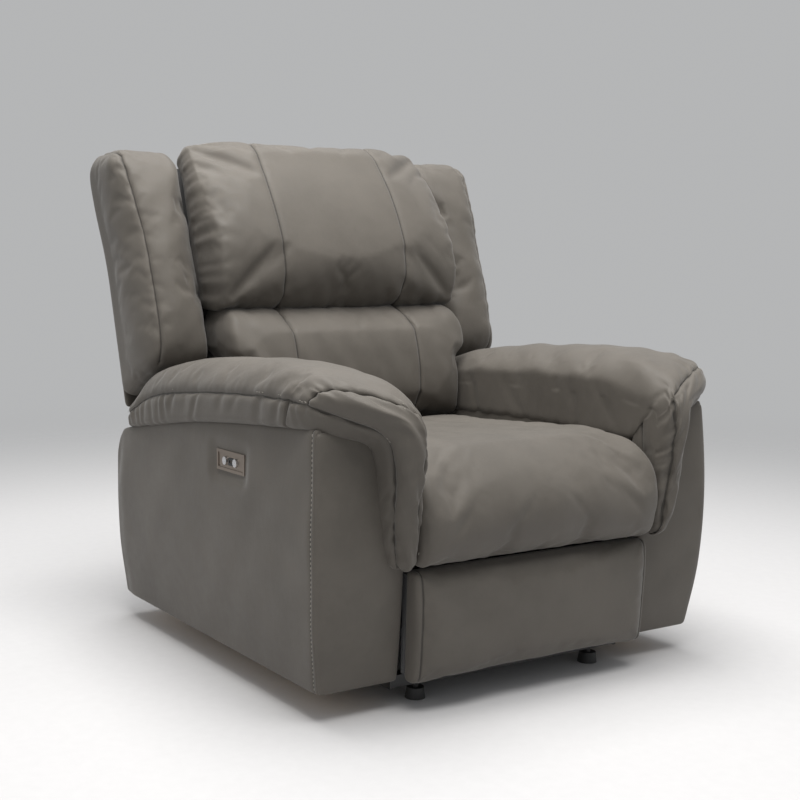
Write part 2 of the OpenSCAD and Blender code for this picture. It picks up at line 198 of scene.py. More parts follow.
def stitch(body, line, normals, aside=0.0, look=threadLook):
    # one row of stitches beside a line: every stitch is a short six-sided spindle lying along the line
    gaps = np.linalg.norm(np.diff(line, axis=0), axis=1)
    s = np.r_[0, np.cumsum(gaps)]
    at = np.arange(look["pitch"], s[-1] - look["pitch"] / 2, look["pitch"])
    p = np.stack([np.interp(at, s, line[:, n]) for n in range(3)], 1)
    n = np.stack([np.interp(at, s, normals[:, m]) for m in range(3)], 1)
    n /= np.linalg.norm(n, axis=1, keepdims=True)
    t = np.gradient(p, axis=0)
    t /= np.linalg.norm(t, axis=1, keepdims=True)
    b = np.cross(n, t)
    p = p + b * aside + n * look["lift"]
    along = np.array([-0.5, -0.3, 0, 0.3, 0.5]) * look["length"]
    thick = np.array([0.25, 0.85, 1, 0.85, 0.25]) * look["radius"]
    angle = np.arange(6) * np.pi / 3
    dip = np.array([-1.0, -0.2, 0, -0.2, -1.0]) * look["radius"]
    ring = np.stack([np.repeat(along, 6), (thick[:, None] * np.cos(angle)).ravel(),
                     (thick[:, None] * np.sin(angle) + dip[:, None]).ravel()], 1)
    verts = (p[:, None] + ring[None, :, :1] * t[:, None] + ring[None, :, 1:2] * b[:, None]
             + ring[None, :, 2:] * n[:, None])
    r, m = np.meshgrid(np.arange(4), np.arange(6), indexing="ij")
    wall = np.stack([r * 6 + m, r * 6 + (m + 1) % 6, (r + 1) * 6 + (m + 1) % 6, (r + 1) * 6 + m], -1).reshape(-1, 4)
    ends = np.array([[0, 5, 4, 3], [0, 3, 2, 1], [24, 25, 26, 27], [24, 27, 28, 29]])
    quads = np.vstack([wall, ends])
    if np.linalg.det(np.stack([t[0], b[0], n[0]])) < 0:
        quads = quads[:, ::-1]
    threadRows.setdefault(body, []).append((verts.reshape(-1, 3),
                                            (quads[None] + 30 * np.arange(len(p))[:, None, None]).reshape(-1, 4)))


def sewThreads():
    # all the stitches on one body become one piece
    for body, rows in threadRows.items():
        start = np.cumsum([0] + [len(v) for v, q in rows])
        verts = np.vstack([v for v, q in rows])
        quads = np.vstack([q + n for (v, q), n in zip(rows, start)])
        obj = addMesh("stitching_" + body, verts, quads)
        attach(obj, body)
        obj.data.materials.append(threadFinish())
        print("  stitching on", body, len(quads) // 28, "stitches")


# materials

def material(name, base, rough, metal=0.0, **sockets):
    m = bpy.data.materials.get(name)
    if m:
        return m, None, None
    m = bpy.data.materials.new(name)
    m.use_nodes = True
    tree = m.node_tree
    shader = tree.nodes["Principled BSDF"]
    shader.inputs["Base Color"].default_value = (*base, 1)
    shader.inputs["Roughness"].default_value = rough
    shader.inputs["Metallic"].default_value = metal
    for key, value in sockets.items():
        shader.inputs[key.replace("_", " ")].default_value = value
    return m, tree, shader


def link(tree, a, b):
    tree.links.new(a, b)


def setSocket(tree, value, socket):
    # a number or a colour is set on the socket itself, and anything else is linked to it
    if isinstance(value, tuple):
        socket.default_value = (*value, 1)
    elif isinstance(value, (int, float)):
        socket.default_value = value
    else:
        link(tree, value, socket)


def objectSpot(tree, scale):
    place = tree.nodes.new("ShaderNodeTexCoord")
    mapping = tree.nodes.new("ShaderNodeMapping")
    mapping.inputs["Scale"].default_value = scale if hasattr(scale, "__len__") else (scale,) * 3
    link(tree, place.outputs["Object"], mapping.inputs["Vector"])
    return mapping.outputs["Vector"]


def noise(tree, spot, scale, detail=3.0, rough=0.55):
    n = tree.nodes.new("ShaderNodeTexNoise")
    n.inputs["Scale"].default_value = scale
    n.inputs["Detail"].default_value = detail
    n.inputs["Roughness"].default_value = rough
    link(tree, spot, n.inputs["Vector"])
    return n.outputs["Fac"]


def cells(tree, spot, scale, feature="DISTANCE_TO_EDGE"):
    n = tree.nodes.new("ShaderNodeTexVoronoi")
    n.feature = feature
    n.inputs["Scale"].default_value = scale
    link(tree, spot, n.inputs["Vector"])
    return n.outputs["Distance"]


def between(tree, value, low, high, toLow, toHigh, smooth=True):
    n = tree.nodes.new("ShaderNodeMapRange")
    n.interpolation_type = "SMOOTHSTEP" if smooth else "LINEAR"
    n.inputs["From Min"].default_value = low
    n.inputs["From Max"].default_value = high
    n.inputs["To Min"].default_value = toLow
    n.inputs["To Max"].default_value = toHigh
    link(tree, value, n.inputs["Value"])
    return n.outputs["Result"]


def sums(tree, how, a, b):
    n = tree.nodes.new("ShaderNodeMath")
    n.operation = how
    setSocket(tree, a, n.inputs[0])
    setSocket(tree, b, n.inputs[1])
    return n.outputs[0]


def blendColors(tree, factor, a, b):
    n = tree.nodes.new("ShaderNodeMix")
    n.data_type = "RGBA"
    setSocket(tree, factor, n.inputs["Factor"])
    setSocket(tree, a, n.inputs[6])
    setSocket(tree, b, n.inputs[7])
    return n.outputs[2]


def relief(tree, shader, height, strength, depth):
    n = tree.nodes.new("ShaderNodeBump")
    n.inputs["Strength"].default_value = strength
    n.inputs["Distance"].default_value = depth
    link(tree, height, n.inputs["Height"])
    link(tree, n.outputs["Normal"], shader.inputs["Normal"])


hideLook = {"dark": (0.084, 0.0752, 0.0640), "light": (0.108, 0.0968, 0.0830), "seamShade": (0.018, 0.016, 0.013),
            "rough": 0.60, "grainSize": 620.0, "grainDepth": 0.00022, "patchSize": 5.0, "mottleSize": 46.0,
            "creaseSize": 95.0}


def hideFinish():
    # matte hide: fine cell grain, soft creases, cloudy colour, and painted shade darkening the seam channel
    m, tree, shader = material("hide", hideLook["dark"], hideLook["rough"], Specular_IOR_Level=0.32,
                               Sheen_Weight=0.16, Sheen_Roughness=0.45)
    if tree is None:
        return m
    spot = objectSpot(tree, 1.0)
    cloud = noise(tree, spot, hideLook["patchSize"], 4.0, 0.6)
    fine = noise(tree, spot, hideLook["mottleSize"], 5.0, 0.65)
    tone = sums(tree, "ADD", sums(tree, "MULTIPLY", cloud, 0.65), sums(tree, "MULTIPLY", fine, 0.35))
    color = blendColors(tree, between(tree, tone, 0.32, 0.68, 0, 1), hideLook["dark"], hideLook["light"])
    seam = tree.nodes.new("ShaderNodeAttribute")
    seam.attribute_name = "seam"
    # painted shade: near a seam the colour is pulled toward the seamShade colour, standing in for shade lying in
    # the groove
    channel = between(tree, seam.outputs["Fac"], 0.0004, 0.0030, 1, 0)
    shade = blendColors(tree, sums(tree, "MULTIPLY", channel, 0.75), color, hideLook["seamShade"])
    grain = cells(tree, spot, hideLook["grainSize"])
    pebble = between(tree, grain, 0.0, 0.35, 0, 1)
    shade = blendColors(tree, between(tree, grain, 0.0, 0.09, 0.12, 0), shade, hideLook["seamShade"])
    link(tree, shade, shader.inputs["Base Color"])
    crease = noise(tree, objectSpot(tree, (1.0, 1.0, 0.45)), hideLook["creaseSize"], 4.0, 0.6)
    height = sums(tree, "ADD", sums(tree, "MULTIPLY", pebble, 0.6), sums(tree, "MULTIPLY", crease, 2.2))
    height = sums(tree, "SUBTRACT", height, sums(tree, "MULTIPLY", channel, 5.0))
    relief(tree, shader, height, 0.55, hideLook["grainDepth"])
    rough = between(tree, fine, 0.3, 0.7, hideLook["rough"] - 0.05, hideLook["rough"] + 0.09)
    link(tree, rough, shader.inputs["Roughness"])
    return m


def threadFinish():
    m, tree, shader = material("thread", (0.30, 0.275, 0.235), 0.62, Sheen_Weight=0.3)
    if tree is None:
        return m
    spot = objectSpot(tree, 1.0)
    twist = noise(tree, spot, 900.0, 2.0)
    link(tree, blendColors(tree, twist, (0.24, 0.22, 0.185), (0.36, 0.335, 0.29)), shader.inputs["Base Color"])
    relief(tree, shader, twist, 0.6, 0.0003)
    return m


def steelFinish():
    m, tree, shader = material("blackSteel", (0.012, 0.012, 0.013), 0.38, Coat_Weight=0.15)
    if tree is None:
        return m
    spot = objectSpot(tree, 1.0)
    orange = noise(tree, spot, 420.0, 2.0)
    dust = noise(tree, spot, 16.0, 5.0, 0.65)
    dusty = between(tree, dust, 0.45, 0.75, 0, 0.5)
    link(tree, blendColors(tree, dusty, (0.011, 0.011, 0.012), (0.045, 0.043, 0.04)), shader.inputs["Base Color"])
    link(tree, between(tree, dust, 0.3, 0.7, 0.3, 0.52), shader.inputs["Roughness"])
    relief(tree, shader, orange, 0.25, 0.0004)
    return m


def zincFinish():
    m, tree, shader = material("zinc", (0.55, 0.56, 0.57), 0.34, 1.0)
    if tree is None:
        return m
    spot = objectSpot(tree, 1.0)
    spangle = cells(tree, spot, 160.0, "F1")
    link(tree, blendColors(tree, spangle, (0.42, 0.43, 0.44), (0.68, 0.69, 0.70)), shader.inputs["Base Color"])
    streak = noise(tree, objectSpot(tree, (1, 0.05, 1)), 700.0, 3.0)
    link(tree, between(tree, streak, 0.3, 0.7, 0.26, 0.44), shader.inputs["Roughness"])
    relief(tree, shader, streak, 0.2, 0.0003)
    return m


def timberFinish():
    m, tree, shader = material("timber", (0.5, 0.36, 0.22), 0.62)
    if tree is None:
        return m
    rings = noise(tree, objectSpot(tree, (1.0, 0.12, 1.0)), 26.0, 5.0, 0.6)
    fibre = noise(tree, objectSpot(tree, (1.0, 0.03, 1.0)), 420.0, 3.0)
    color = blendColors(tree, between(tree, rings, 0.35, 0.65, 0, 1), (0.26, 0.18, 0.11), (0.40, 0.29, 0.19))
    link(tree, blendColors(tree, sums(tree, "MULTIPLY", fibre, 0.35), color, (0.17, 0.11, 0.07)),
         shader.inputs["Base Color"])
    relief(tree, shader, fibre, 0.4, 0.0006)
    return m


def plasticFinish(name, base, rough):
    m, tree, shader = material(name, base, rough)
    if tree is None:
        return m
    spot = objectSpot(tree, 1.0)
    texture = noise(tree, spot, 900.0, 2.0)
    relief(tree, shader, texture, 0.25, 0.0003)
    smudge = noise(tree, spot, 30.0, 4.0)
    link(tree, between(tree, smudge, 0.3, 0.7, rough - 0.07, rough + 0.1), shader.inputs["Roughness"])
    light = tuple(min(1.0, v * 1.35 + 0.004) for v in base)
    link(tree, blendColors(tree, smudge, base, light), shader.inputs["Base Color"])
    return m


def bronzeFinish():
    m, tree, shader = material("bronze", (0.20, 0.165, 0.135), 0.36, 0.85)
    if tree is None:
        return m
    brushed = noise(tree, objectSpot(tree, (1, 0.04, 1)), 1600.0, 3.0)
    link(tree, blendColors(tree, brushed, (0.17, 0.14, 0.115), (0.30, 0.255, 0.215)), shader.inputs["Base Color"])
    link(tree, between(tree, brushed, 0.3, 0.7, 0.28, 0.46), shader.inputs["Roughness"])
    relief(tree, shader, brushed, 0.2, 0.0002)
    return m


def silverFinish():
    m, tree, shader = material("satinSilver", (0.62, 0.62, 0.63), 0.26, 1.0)
    if tree is None:
        return m
    spun = noise(tree, objectSpot(tree, (0.05, 1, 1)), 1400.0, 3.0)
    link(tree, blendColors(tree, spun, (0.54, 0.54, 0.55), (0.72, 0.72, 0.73)), shader.inputs["Base Color"])
    link(tree, between(tree, spun, 0.3, 0.7, 0.2, 0.36), shader.inputs["Roughness"])
    relief(tree, shader, spun, 0.15, 0.0002)
    return m


def wovenFinish(name, base, pale, pitch):
    m, tree, shader = material(name, base, 0.8, Sheen_Weight=0.3)
    if tree is None:
        return m
    spot = objectSpot(tree, 1.0)
    place = tree.nodes.new("ShaderNodeSeparateXYZ")
    link(tree, spot, place.inputs[0])
    warp = sums(tree, "SINE", sums(tree, "MULTIPLY", place.outputs[0], 2 * math.pi / pitch), 0)
    weft = sums(tree, "SINE", sums(tree, "MULTIPLY", sums(tree, "ADD", place.outputs[1], place.outputs[2]),
                                   2 * math.pi / pitch), 0)
    weave = sums(tree, "MULTIPLY", warp, weft)
    link(tree, blendColors(tree, between(tree, weave, -1, 1, 0, 1, False), base, pale), shader.inputs["Base Color"])
    relief(tree, shader, weave, 0.5, 0.0006)
    return m


# camera, floor and light

cameraLook = {"spot": (-1.61848, -2.28478, 0.82407), "azimuth": -30.1357, "elevation": 12.4426,
              "lens": 56.89, "shift": (0.1538, 0.1739)}
floorLook = {"half": 14, "color": (0.55, 0.55, 0.56), "rough": 0.85, "fade": (1.2, 5.0)}
lightLook = {"sky": 0.47, "skyColor": (0.98, 0.99, 1.0), "lampColor": (1, 0.98, 0.95),
             # name, place, aim, side length, watts
             "lamps": (("sideLight", (-3.4, -0.4, 1.8), (0, 0, 0.5), 1.8, 9),
                       ("overLight", (0, 0.5, 3.6), (0, 0, 0.5), 2.4, 98),
                       ("topLight", (-0.3, -0.9, 3.6), (0, 0, 0.4), 2.4, 122))}


def floorFinish():
    # pale matte paint that fades into the backdrop away from the chair, so that no horizon shows
    m, tree, shader = material("floorPaint", floorLook["color"], floorLook["rough"])
    if tree is None:
        return m
    spot = objectSpot(tree, 1.0)
    speck = noise(tree, spot, 40.0, 4.0)
    link(tree, blendColors(tree, speck, (0.53, 0.53, 0.54), (0.57, 0.57, 0.58)), shader.inputs["Base Color"])
    far = tree.nodes.new("ShaderNodeVectorMath")
    far.operation = "LENGTH"
    link(tree, spot, far.inputs[0])
    link(tree, between(tree, far.outputs["Value"], *floorLook["fade"], 1, 0), shader.inputs["Alpha"])
    return m


def makeStage():
    az, el = math.radians(cameraLook["azimuth"]), math.radians(cameraLook["elevation"])
    back = Vector((math.sin(az) * math.cos(el), -math.cos(az) * math.cos(el), math.sin(el)))
    right = Vector((math.cos(az), math.sin(az), 0))
    up = back.cross(right)
    turn = Matrix((right, up, back)).transposed().to_4x4()
    camera = bpy.data.cameras.new("camera")
    camera.lens = cameraLook["lens"]
    camera.sensor_width = 36
    camera.shift_x, camera.shift_y = cameraLook["shift"]
    eye = bpy.data.objects.new("camera", camera)
    eye.matrix_world = Matrix.Translation(cameraLook["spot"]) @ turn
    scene.collection.objects.link(eye)
    scene.camera = eye

    mesh = bpy.data.meshes.new("floor")
    half = floorLook["half"]
    mesh.from_pydata([(-half, -half, 0), (half, -half, 0), (half, half, 0), (-half, half, 0)], [], [(0, 1, 2, 3)])
    floor = bpy.data.objects.new("floor", mesh)
    scene.collection.objects.link(floor)
    floor.data.materials.append(floorFinish())

    world = bpy.data.worlds.new("studio")
    world.use_nodes = True
    background = world.node_tree.nodes["Background"]
    background.inputs["Color"].default_value = (*lightLook["skyColor"], 1)
    background.inputs["Strength"].default_value = lightLook["sky"]
    scene.world = world
    for name, spot, aim, side, power in lightLook["lamps"]:
        data = bpy.data.lights.new(name, "AREA")
        data.shape = "RECTANGLE"
        data.size = data.size_y = side
        data.energy = power
        data.color = lightLook["lampColor"]
        obj = bpy.data.objects.new(name, data)
        obj.location = spot
        obj.rotation_euler = (Vector(aim) - Vector(spot)).to_track_quat("-Z", "Y").to_euler()
        scene.collection.objects.link(obj)
    scene.view_settings.view_transform = "Standard"


makeStage()
print("stage set")


# soft pieces

armLook = {"inner": 0.294, "bottom": 0.055}
topLine = [(-0.450, 0.535), (-0.250, 0.524), (-0.005, 0.505), (0.187, 0.477), (0.337, 0.454), (0.372, 0.446),
           (0.402, 0.424), (0.420, 0.385)]


def armTop(y):
    # height of the arm panels' top edge at y
    line = np.array(topLine)
    return np.interp(y, line[:, 0], line[:, 1])


def bulge(z):
    # how far the outer side swells past its plane at height z: in at the floor, out half way up
    return 0.0135 * np.sin(np.pi * np.clip((z - 0.04) / 0.50, 0, 1)) ** 0.9 - 0.008 * ramp(z, 0.20, 0.04)


def frontBulge(z):
    # how far the arm's front swells forward at height z
    return panelLook["frontSwell"] * np.sin(np.pi * np.clip((z - 0.04) / 0.50, 0, 1))


def pushSeam(verts, quads, distance, depth, width):
    # the skin sinks along its normals beside a seam
    return verts - meshNormals(verts, quads) * (depth * np.exp(-(distance / width) ** 2))[:, None]


def boxSkin(size, cell, seams=((), (), ())):
    # the skin of a box on a lattice that has lines at the seams
    return latticeShell(*(ruler(-n / 2, n / 2, cell, s) for n, s in zip(size, seams)))


def leaned(q, size, front, back):
    # height runs along the front and back curves (y, z), and depth goes straight from one curve to the other
    s, u = q[:, 1] / size[1] + 0.5, q[:, 2] / size[2] + 0.5
    return s, u, alongCurve(front, u) * (1 - s)[:, None] + alongCurve(back, u) * s[:, None]


def creases(along, away, seed, low, high, pitch, length, width, depth, lean=0.0):
    # gathers beside a seam: each is a narrow valley between two low ridges; it starts on the seam and fades out;
    # the entries for creases and pleats in the dictionaries give pitch, length, width, depth and lean
    rng = np.random.default_rng(seed)
    count = max(1, int((high - low) / pitch))
    out = np.zeros(len(along))
    for n in range(count):
        start = low + (n + rng.uniform(0.1, 0.9)) * (high - low) / count
        tilt = lean + rng.normal(0, 0.35)
        reach = length * rng.uniform(0.5, 1.4)
        thin = width * rng.uniform(0.7, 1.5) * (1 + np.maximum(away, 0) / reach)
        x = (along - start - tilt * away) / thin
        size = rng.uniform(0.4, 1.0) * depth * ramp(away, reach, reach * 0.15)
        out += (0.55 * np.exp(-(x / 2.2) ** 2) - np.exp(-x * x)) * size
    return out


def seamLine(verts, normals, chosen, order):
    # the chosen vertices in order, with their normals
    line = np.nonzero(chosen)[0]
    line = line[np.argsort(order[line])]
    return verts[line], normals[line]


near = 1e-6
farAway = 0.1  # a distance from the seams past which no seam shows

headLook = {"half": 0.328, "thick": 0.13, "tall": 0.45, "round": 0.055, "cell": 0.0078, "seam": 0.163,
            "pressure": 3.0, "slack": 0.012, "limit": 0.018, "seamDepth": 0.0050, "seamWidth": 0.0048,
            "sideWave": 0.0014, "footWave": 0.0018, "taper": 0.035, "shoulder": 0.026,
            "sideCreases": (0.024, 0.055, 0.0060, 0.0034, 0.2),
            "footCreases": (0.040, 0.05, 0.0075, 0.0026)}
headFront = [(0.214, 0.711), (0.197, 0.727), (0.187, 0.755), (0.185, 0.787), (0.191, 0.822), (0.205, 0.860),
             (0.225, 0.902), (0.250, 0.946), (0.280, 0.990), (0.313, 1.032), (0.346, 1.072), (0.372, 1.096),
             (0.396, 1.108)]
headBack = [(0.322, 0.716), (0.345, 0.82), (0.376, 0.93), (0.408, 1.015), (0.450, 1.062)]


def makeHeadrest():
    look = headLook
    size = (2 * look["half"], look["thick"], look["tall"])
    w, t, h = size
    p, quads = boxSkin(size, look["cell"], ((-look["seam"], look["seam"]), (), ()))
    low = p[:, 2] < 0
    radius = np.column_stack([np.where(low, 0.018, 0.036), np.full(len(p), look["round"]),
                              np.where(low, 0.020, 0.034)])
    q = roundOff(p, size, radius)
    s, u, yz = leaned(q, size, headFront, headBack)
    x = q[:, 0] * (1 - look["taper"] * ramp(u, 0.55, 1.0) - 0.02 * ramp(u, 0.25, 0))
    yz[:, 1] -= look["shoulder"] * (np.abs(x) / look["half"]) ** 4 * ramp(u, 0.6, 1)
    verts = np.column_stack([x, yz])
    edge = (np.abs(np.abs(p[:, 0]) - w / 2) < near) & (p[:, 1] < 0)
    verts = relax("headrest", verts, quads, (s > 0.62) | edge, look)
    n = meshNormals(verts, quads)
    front = ramp(s, 0.75, 0.45)
    fromSide = look["half"] - np.abs(p[:, 0])
    fromFoot = p[:, 2] + h / 2
    # the right side counts its height from 3 m up, so that the two sides get gathers of their own
    height = q[:, 2] + np.where(p[:, 0] > 0, 3.0, 0)
    wave = look["sideWave"] * ripple(q[:, 2] + 0.4 * fromSide, 11, 0.055) * bump(fromSide, 0, 0.05)
    wave += look["footWave"] * ripple(q[:, 0] + 0.5 * fromFoot, 12, 0.06) * bump(fromFoot, 0.02, 0.055)
    wave += creases(height, fromSide, 13, -h / 2, h / 2, *look["sideCreases"])
    wave += creases(height, fromSide, 14, 3 - h / 2, 3 + h / 2, *look["sideCreases"])
    wave += creases(p[:, 0], fromFoot, 15, -w / 2, w / 2, *look["footCreases"])
    verts += n * (wave * front)[:, None]
    distance = np.where(s < 0.9, np.abs(np.abs(p[:, 0]) - look["seam"]), farAway)
    verts = pushSeam(verts, quads, distance, look["seamDepth"], look["seamWidth"])
    makePiece("headrestPillow", verts, quads, "back", ["headrest_pillow"], distance)
    n = meshNormals(verts, quads)
    for sign in (-1, 1):
        chosen = (np.abs(p[:, 0] - sign * look["seam"]) < near) & (p[:, 1] < -t / 2 + near)
        chosen &= p[:, 2] > -h / 2 + 0.02
        stitch("back", *seamLine(verts, n, chosen, p[:, 2]), sign * 0.0065)


lumbarLook = {"half": 0.330, "low": 0.2885, "thick": 0.13, "tall": 0.30, "round": (0.014, 0.030, 0.030),
              "cell": 0.0080, "seam": 0.164, "pressure": 3.0, "slack": 0.010, "limit": 0.010, "wider": 0.026,
              "seamDepth": 0.0048, "seamWidth": 0.0048, "wave": 0.0022,
              "creases": (0.05, 0.05, 0.009, 0.003)}
lumbarFront = [(0.146, 0.458), (0.130, 0.472), (0.122, 0.498), (0.120, 0.530), (0.123, 0.565), (0.130, 0.600),
               (0.140, 0.636), (0.154, 0.670), (0.172, 0.700), (0.194, 0.722)]
lumbarBack = [(0.258, 0.456), (0.316, 0.722)]


def makeLumbar():
    look = lumbarLook
    size = (2 * look["half"], look["thick"], look["tall"])
    w, t, h = size
    p, quads = boxSkin(size, look["cell"], ((-look["seam"], look["seam"]), (), ()))
    q = roundOff(p, size, look["round"])
    s, u, yz = leaned(q, size, lumbarFront, lumbarBack)
    # between the arms it is narrow, above them it widens, and the seams stay straight
    narrow = look["low"] + look["wider"] * ramp(yz[:, 1], 0.597, 0.636) - 0.012 * ramp(yz[:, 1], 0.665, 0.720)
    beyond = (np.abs(q[:, 0]) - look["seam"]).clip(0) * (narrow - look["seam"]) / (look["half"] - look["seam"])
    verts = np.column_stack([np.sign(q[:, 0]) * (np.minimum(np.abs(q[:, 0]), look["seam"]) + beyond), yz])
    verts = relax("lumbar", verts, quads, s > 0.5, look)
    limit = np.where(verts[:, 2] < 0.606, look["low"] + 0.0015, 0.32)
    verts[:, 0] = np.clip(verts[:, 0], -limit, limit)
    n = meshNormals(verts, quads)
    front = ramp(s, 0.7, 0.4)
    wave = look["wave"] * ripple(p[:, 0] + 0.6 * p[:, 2], 21, 0.10)
    wave += creases(p[:, 0], p[:, 2] + h / 2, 22, -w / 2, w / 2, *look["creases"])
    verts += n * (wave * front)[:, None]
    distance = np.where(s < 0.9, np.abs(np.abs(p[:, 0]) - look["seam"]), farAway)
    verts = pushSeam(verts, quads, distance, look["seamDepth"], look["seamWidth"])
    makePiece("lumbarPillow", verts, quads, "back", ["lumbar_pillow"], distance)
    n = meshNormals(verts, quads)
    for sign in (-1, 1):
        chosen = (np.abs(p[:, 0] - sign * look["seam"]) < near) & (p[:, 1] < -t / 2 + near)
        stitch("back", *seamLine(verts, n, chosen, p[:, 2]), sign * 0.0065)


wingLook = {"inner": 0.330, "outer": 0.478, "thick": 0.16, "tall": 0.47, "cell": 0.0072, "seam": 0.052,
            "pressure": 3.0, "slack": 0.008, "limit": 0.012, "flare": 0.013, "widest": 0.4975,
            "seamDepth": 0.0048, "seamWidth": 0.0050, "wave": 0.0013,
            "seamCreases": (0.036, 0.040, 0.0062, 0.0028, 0.2),
            "topCreases": (0.05, 0.05, 0.008, 0.003),
            "footCreases": (0.03, 0.04, 0.006, 0.0026)}
wingFront = [(0.224, 0.604), (0.215, 0.640), (0.222, 0.690), (0.244, 0.760), (0.280, 0.860), (0.314, 0.942),
             (0.352, 1.014), (0.388, 1.060)]
wingBack = [(0.384, 0.516), (0.418, 0.640), (0.470, 0.830), (0.508, 0.955), (0.517, 1.005), (0.490, 1.062)]


def makeWings():
    look = wingLook
    size = (look["outer"] - look["inner"], look["thick"], look["tall"])
    w, t, h = size
    p, quads = boxSkin(size, look["cell"], ((look["seam"],), (), ()))
    radius = np.column_stack([np.where(p[:, 0] > 0, 0.038, 0.026), np.where(p[:, 1] < 0, 0.040, 0.010),
                              np.where(p[:, 2] > 0, 0.044, 0.020)])
    q = roundOff(p, size, radius)
    s, u, yz = leaned(q, size, wingFront, wingBack)
    flare = look["flare"] * ramp(u, 0.45, 0.95) * ramp(q[:, 0], -w / 2, w / 2)
    start = np.column_stack([(look["inner"] + look["outer"]) / 2 + q[:, 0] + flare, yz])
    quads = outward(start, quads)
    outer = p[:, 0] > w / 2 - near
    skin = (p[:, 1] < -t / 2 + near) | (p[:, 2] > h / 2 - near)
    corner = skin & (np.abs(p[:, 0] - look["seam"]) < near)
    start = relax("wing", start, quads, (s > 0.7) | corner, look)
    onSide = np.minimum(p[:, 1] + t / 2, h / 2 - p[:, 2]) + w / 2 - look["seam"]
    distance = np.where(outer, onSide, np.where(skin, np.abs(p[:, 0] - look["seam"]), farAway))
    front = ramp(s, 0.8, 0.4)
    for sign, seed, name in ((-1, 31, "left"), (1, 41, "right")):
        verts = start * (sign, 1, 1)
        facing = outward(verts, quads)
        n = meshNormals(verts, facing)
        wave = look["wave"] * ripple(p[:, 2] + 0.7 * p[:, 0], seed, 0.09) * front
        climb = p[:, 2] + (p[:, 1] + t / 2) * 0.3
        wave += creases(climb, distance, seed + 1, -h / 2, h / 2, *look["seamCreases"])
        wave += creases(p[:, 0], h / 2 - p[:, 2], seed + 2, -w / 2, w / 2, *look["topCreases"]) * front
        wave += creases(p[:, 0], p[:, 2] + h / 2, seed + 3, -w / 2, w / 2, *look["footCreases"])
        verts += n * (wave * ramp(s, 1.0, 0.8))[:, None]
        verts[:, 0] = np.clip(verts[:, 0], -look["widest"], look["widest"])
        verts = pushSeam(verts, facing, distance, look["seamDepth"], look["seamWidth"])
        makePiece(name + "Wing", verts, facing, "back", ["wing_" + name], distance)
        n = meshNormals(verts, facing)
        for chosen, order in ((p[:, 1] < -t / 2 + near, p[:, 2]),
                              ((p[:, 2] > h / 2 - near) & (p[:, 1] > -t / 2 + 0.004), p[:, 1])):
            line, normal = seamLine(verts, n, chosen & (np.abs(p[:, 0] - look["seam"]) < near), order)
            stitch("back", line - np.array([sign * 0.006, 0, 0]), normal)


# sections down the arm pad, from the rear over the crown and down the front: outer path y z, inner path y z,
# then the x of the inside and of the outside edge
armRows = np.array([
    (0.352, 0.498, 0.346, 0.455, 0.2915, 0.484), (0.335, 0.520, 0.325, 0.456, 0.2915, 0.486),
    (0.290, 0.548, 0.285, 0.460, 0.2915, 0.488), (0.245, 0.580, 0.245, 0.466, 0.2915, 0.489),
    (0.200, 0.597, 0.200, 0.472, 0.2915, 0.490), (0.070, 0.616, 0.070, 0.492, 0.2915, 0.490),
    (-0.120, 0.629, -0.115, 0.512, 0.2915, 0.490), (-0.270, 0.634, -0.255, 0.523, 0.2915, 0.490),
    (-0.385, 0.630, -0.360, 0.529, 0.2915, 0.488), (-0.455, 0.614, -0.418, 0.530, 0.2915, 0.474),
    (-0.504, 0.584, -0.446, 0.522, 0.2915, 0.428), (-0.532, 0.552, -0.452, 0.508, 0.2920, 0.368),
    (-0.543, 0.510, -0.452, 0.482, 0.2940, 0.346), (-0.542, 0.460, -0.452, 0.440, 0.2970, 0.339),
    (-0.535, 0.400, -0.452, 0.395, 0.2985, 0.336), (-0.527, 0.340, -0.452, 0.340, 0.2980, 0.332),
    (-0.519, 0.300, -0.452, 0.300, 0.2960, 0.325), (-0.510, 0.276, -0.453, 0.280, 0.2940, 0.318)])
armPadLook = {"inner": 0.2915, "wide": 0.198, "thick": 0.105, "cell": 0.0068, "hang": 0.452, "welt": 0.0035,
              "crossSeam": 0.300, "crossSlant": 0.130, "tongueSeam": -0.072, "jointSeam": 0.212,
              "pressure": 3.5, "slack": 0.004, "limit": 0.009, "flare": 0.017, "seamDepth": 0.0062,
              "seamWidth": 0.0050, "wave": 0.0020,
              "behindCross": (0.019, 0.075, 0.0062, 0.0068, -0.25),
              "beforeCross": (0.019, 0.055, 0.0062, 0.0068, 0.25),
              "tongue": (0.024, 0.032, 0.0066, 0.0052, 0.3),
              "frontWelt": (0.024, 0.032, 0.0066, 0.0050, -0.3),
              "rearWelt": (0.090, 0.03, 0.0090, 0.0012, 0.3),
              "rearPleats": (0.034, 0.09, 0.0085, 0.0085, 0.2),
              "middlePleats": (0.080, 0.08, 0.0110, 0.0055, -0.5),
              "frontPleats": (0.034, 0.06, 0.0085, 0.0070, 0.4),
              "insideFolds": (0.045, 0.11, 0.0120, 0.0085, -0.8)}


